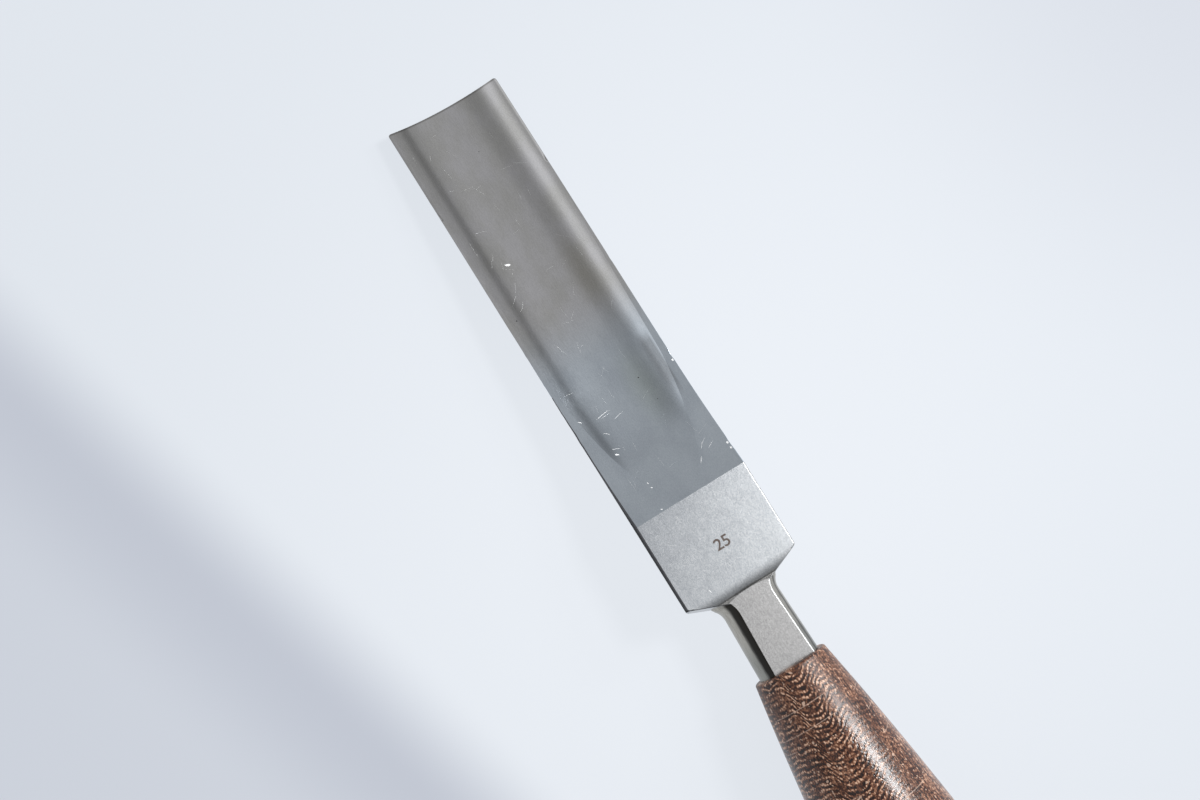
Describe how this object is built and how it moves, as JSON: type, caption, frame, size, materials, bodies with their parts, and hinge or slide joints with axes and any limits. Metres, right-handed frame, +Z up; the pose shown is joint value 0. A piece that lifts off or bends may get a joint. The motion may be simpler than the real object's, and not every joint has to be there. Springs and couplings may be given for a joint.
{
  "type": "bone gouge",
  "caption": "Surgical bone gouge: broad parallel blade with a shallow hollow-ground face, sloping shoulders, short round neck with a flat, and a turned laminate handle.",
  "frame": {"origin": "middle of the length and width of the gouge as it lies, on the surface it lies on", "axes": "+X along the gouge from the cutting edge to the struck end, +Z up out of the hollow face"},
  "size_m": [0.25, 0.031, 0.0322],
  "materials": {
    "steel": "polished ground face, satin shoulder and neck",
    "laminate": "turned and polished brown fabric-reinforced phenolic laminate"
  },
  "bodies": {
    "root": {"blade": "steel", "handle": "laminate"}
  },
  "joints": []
}
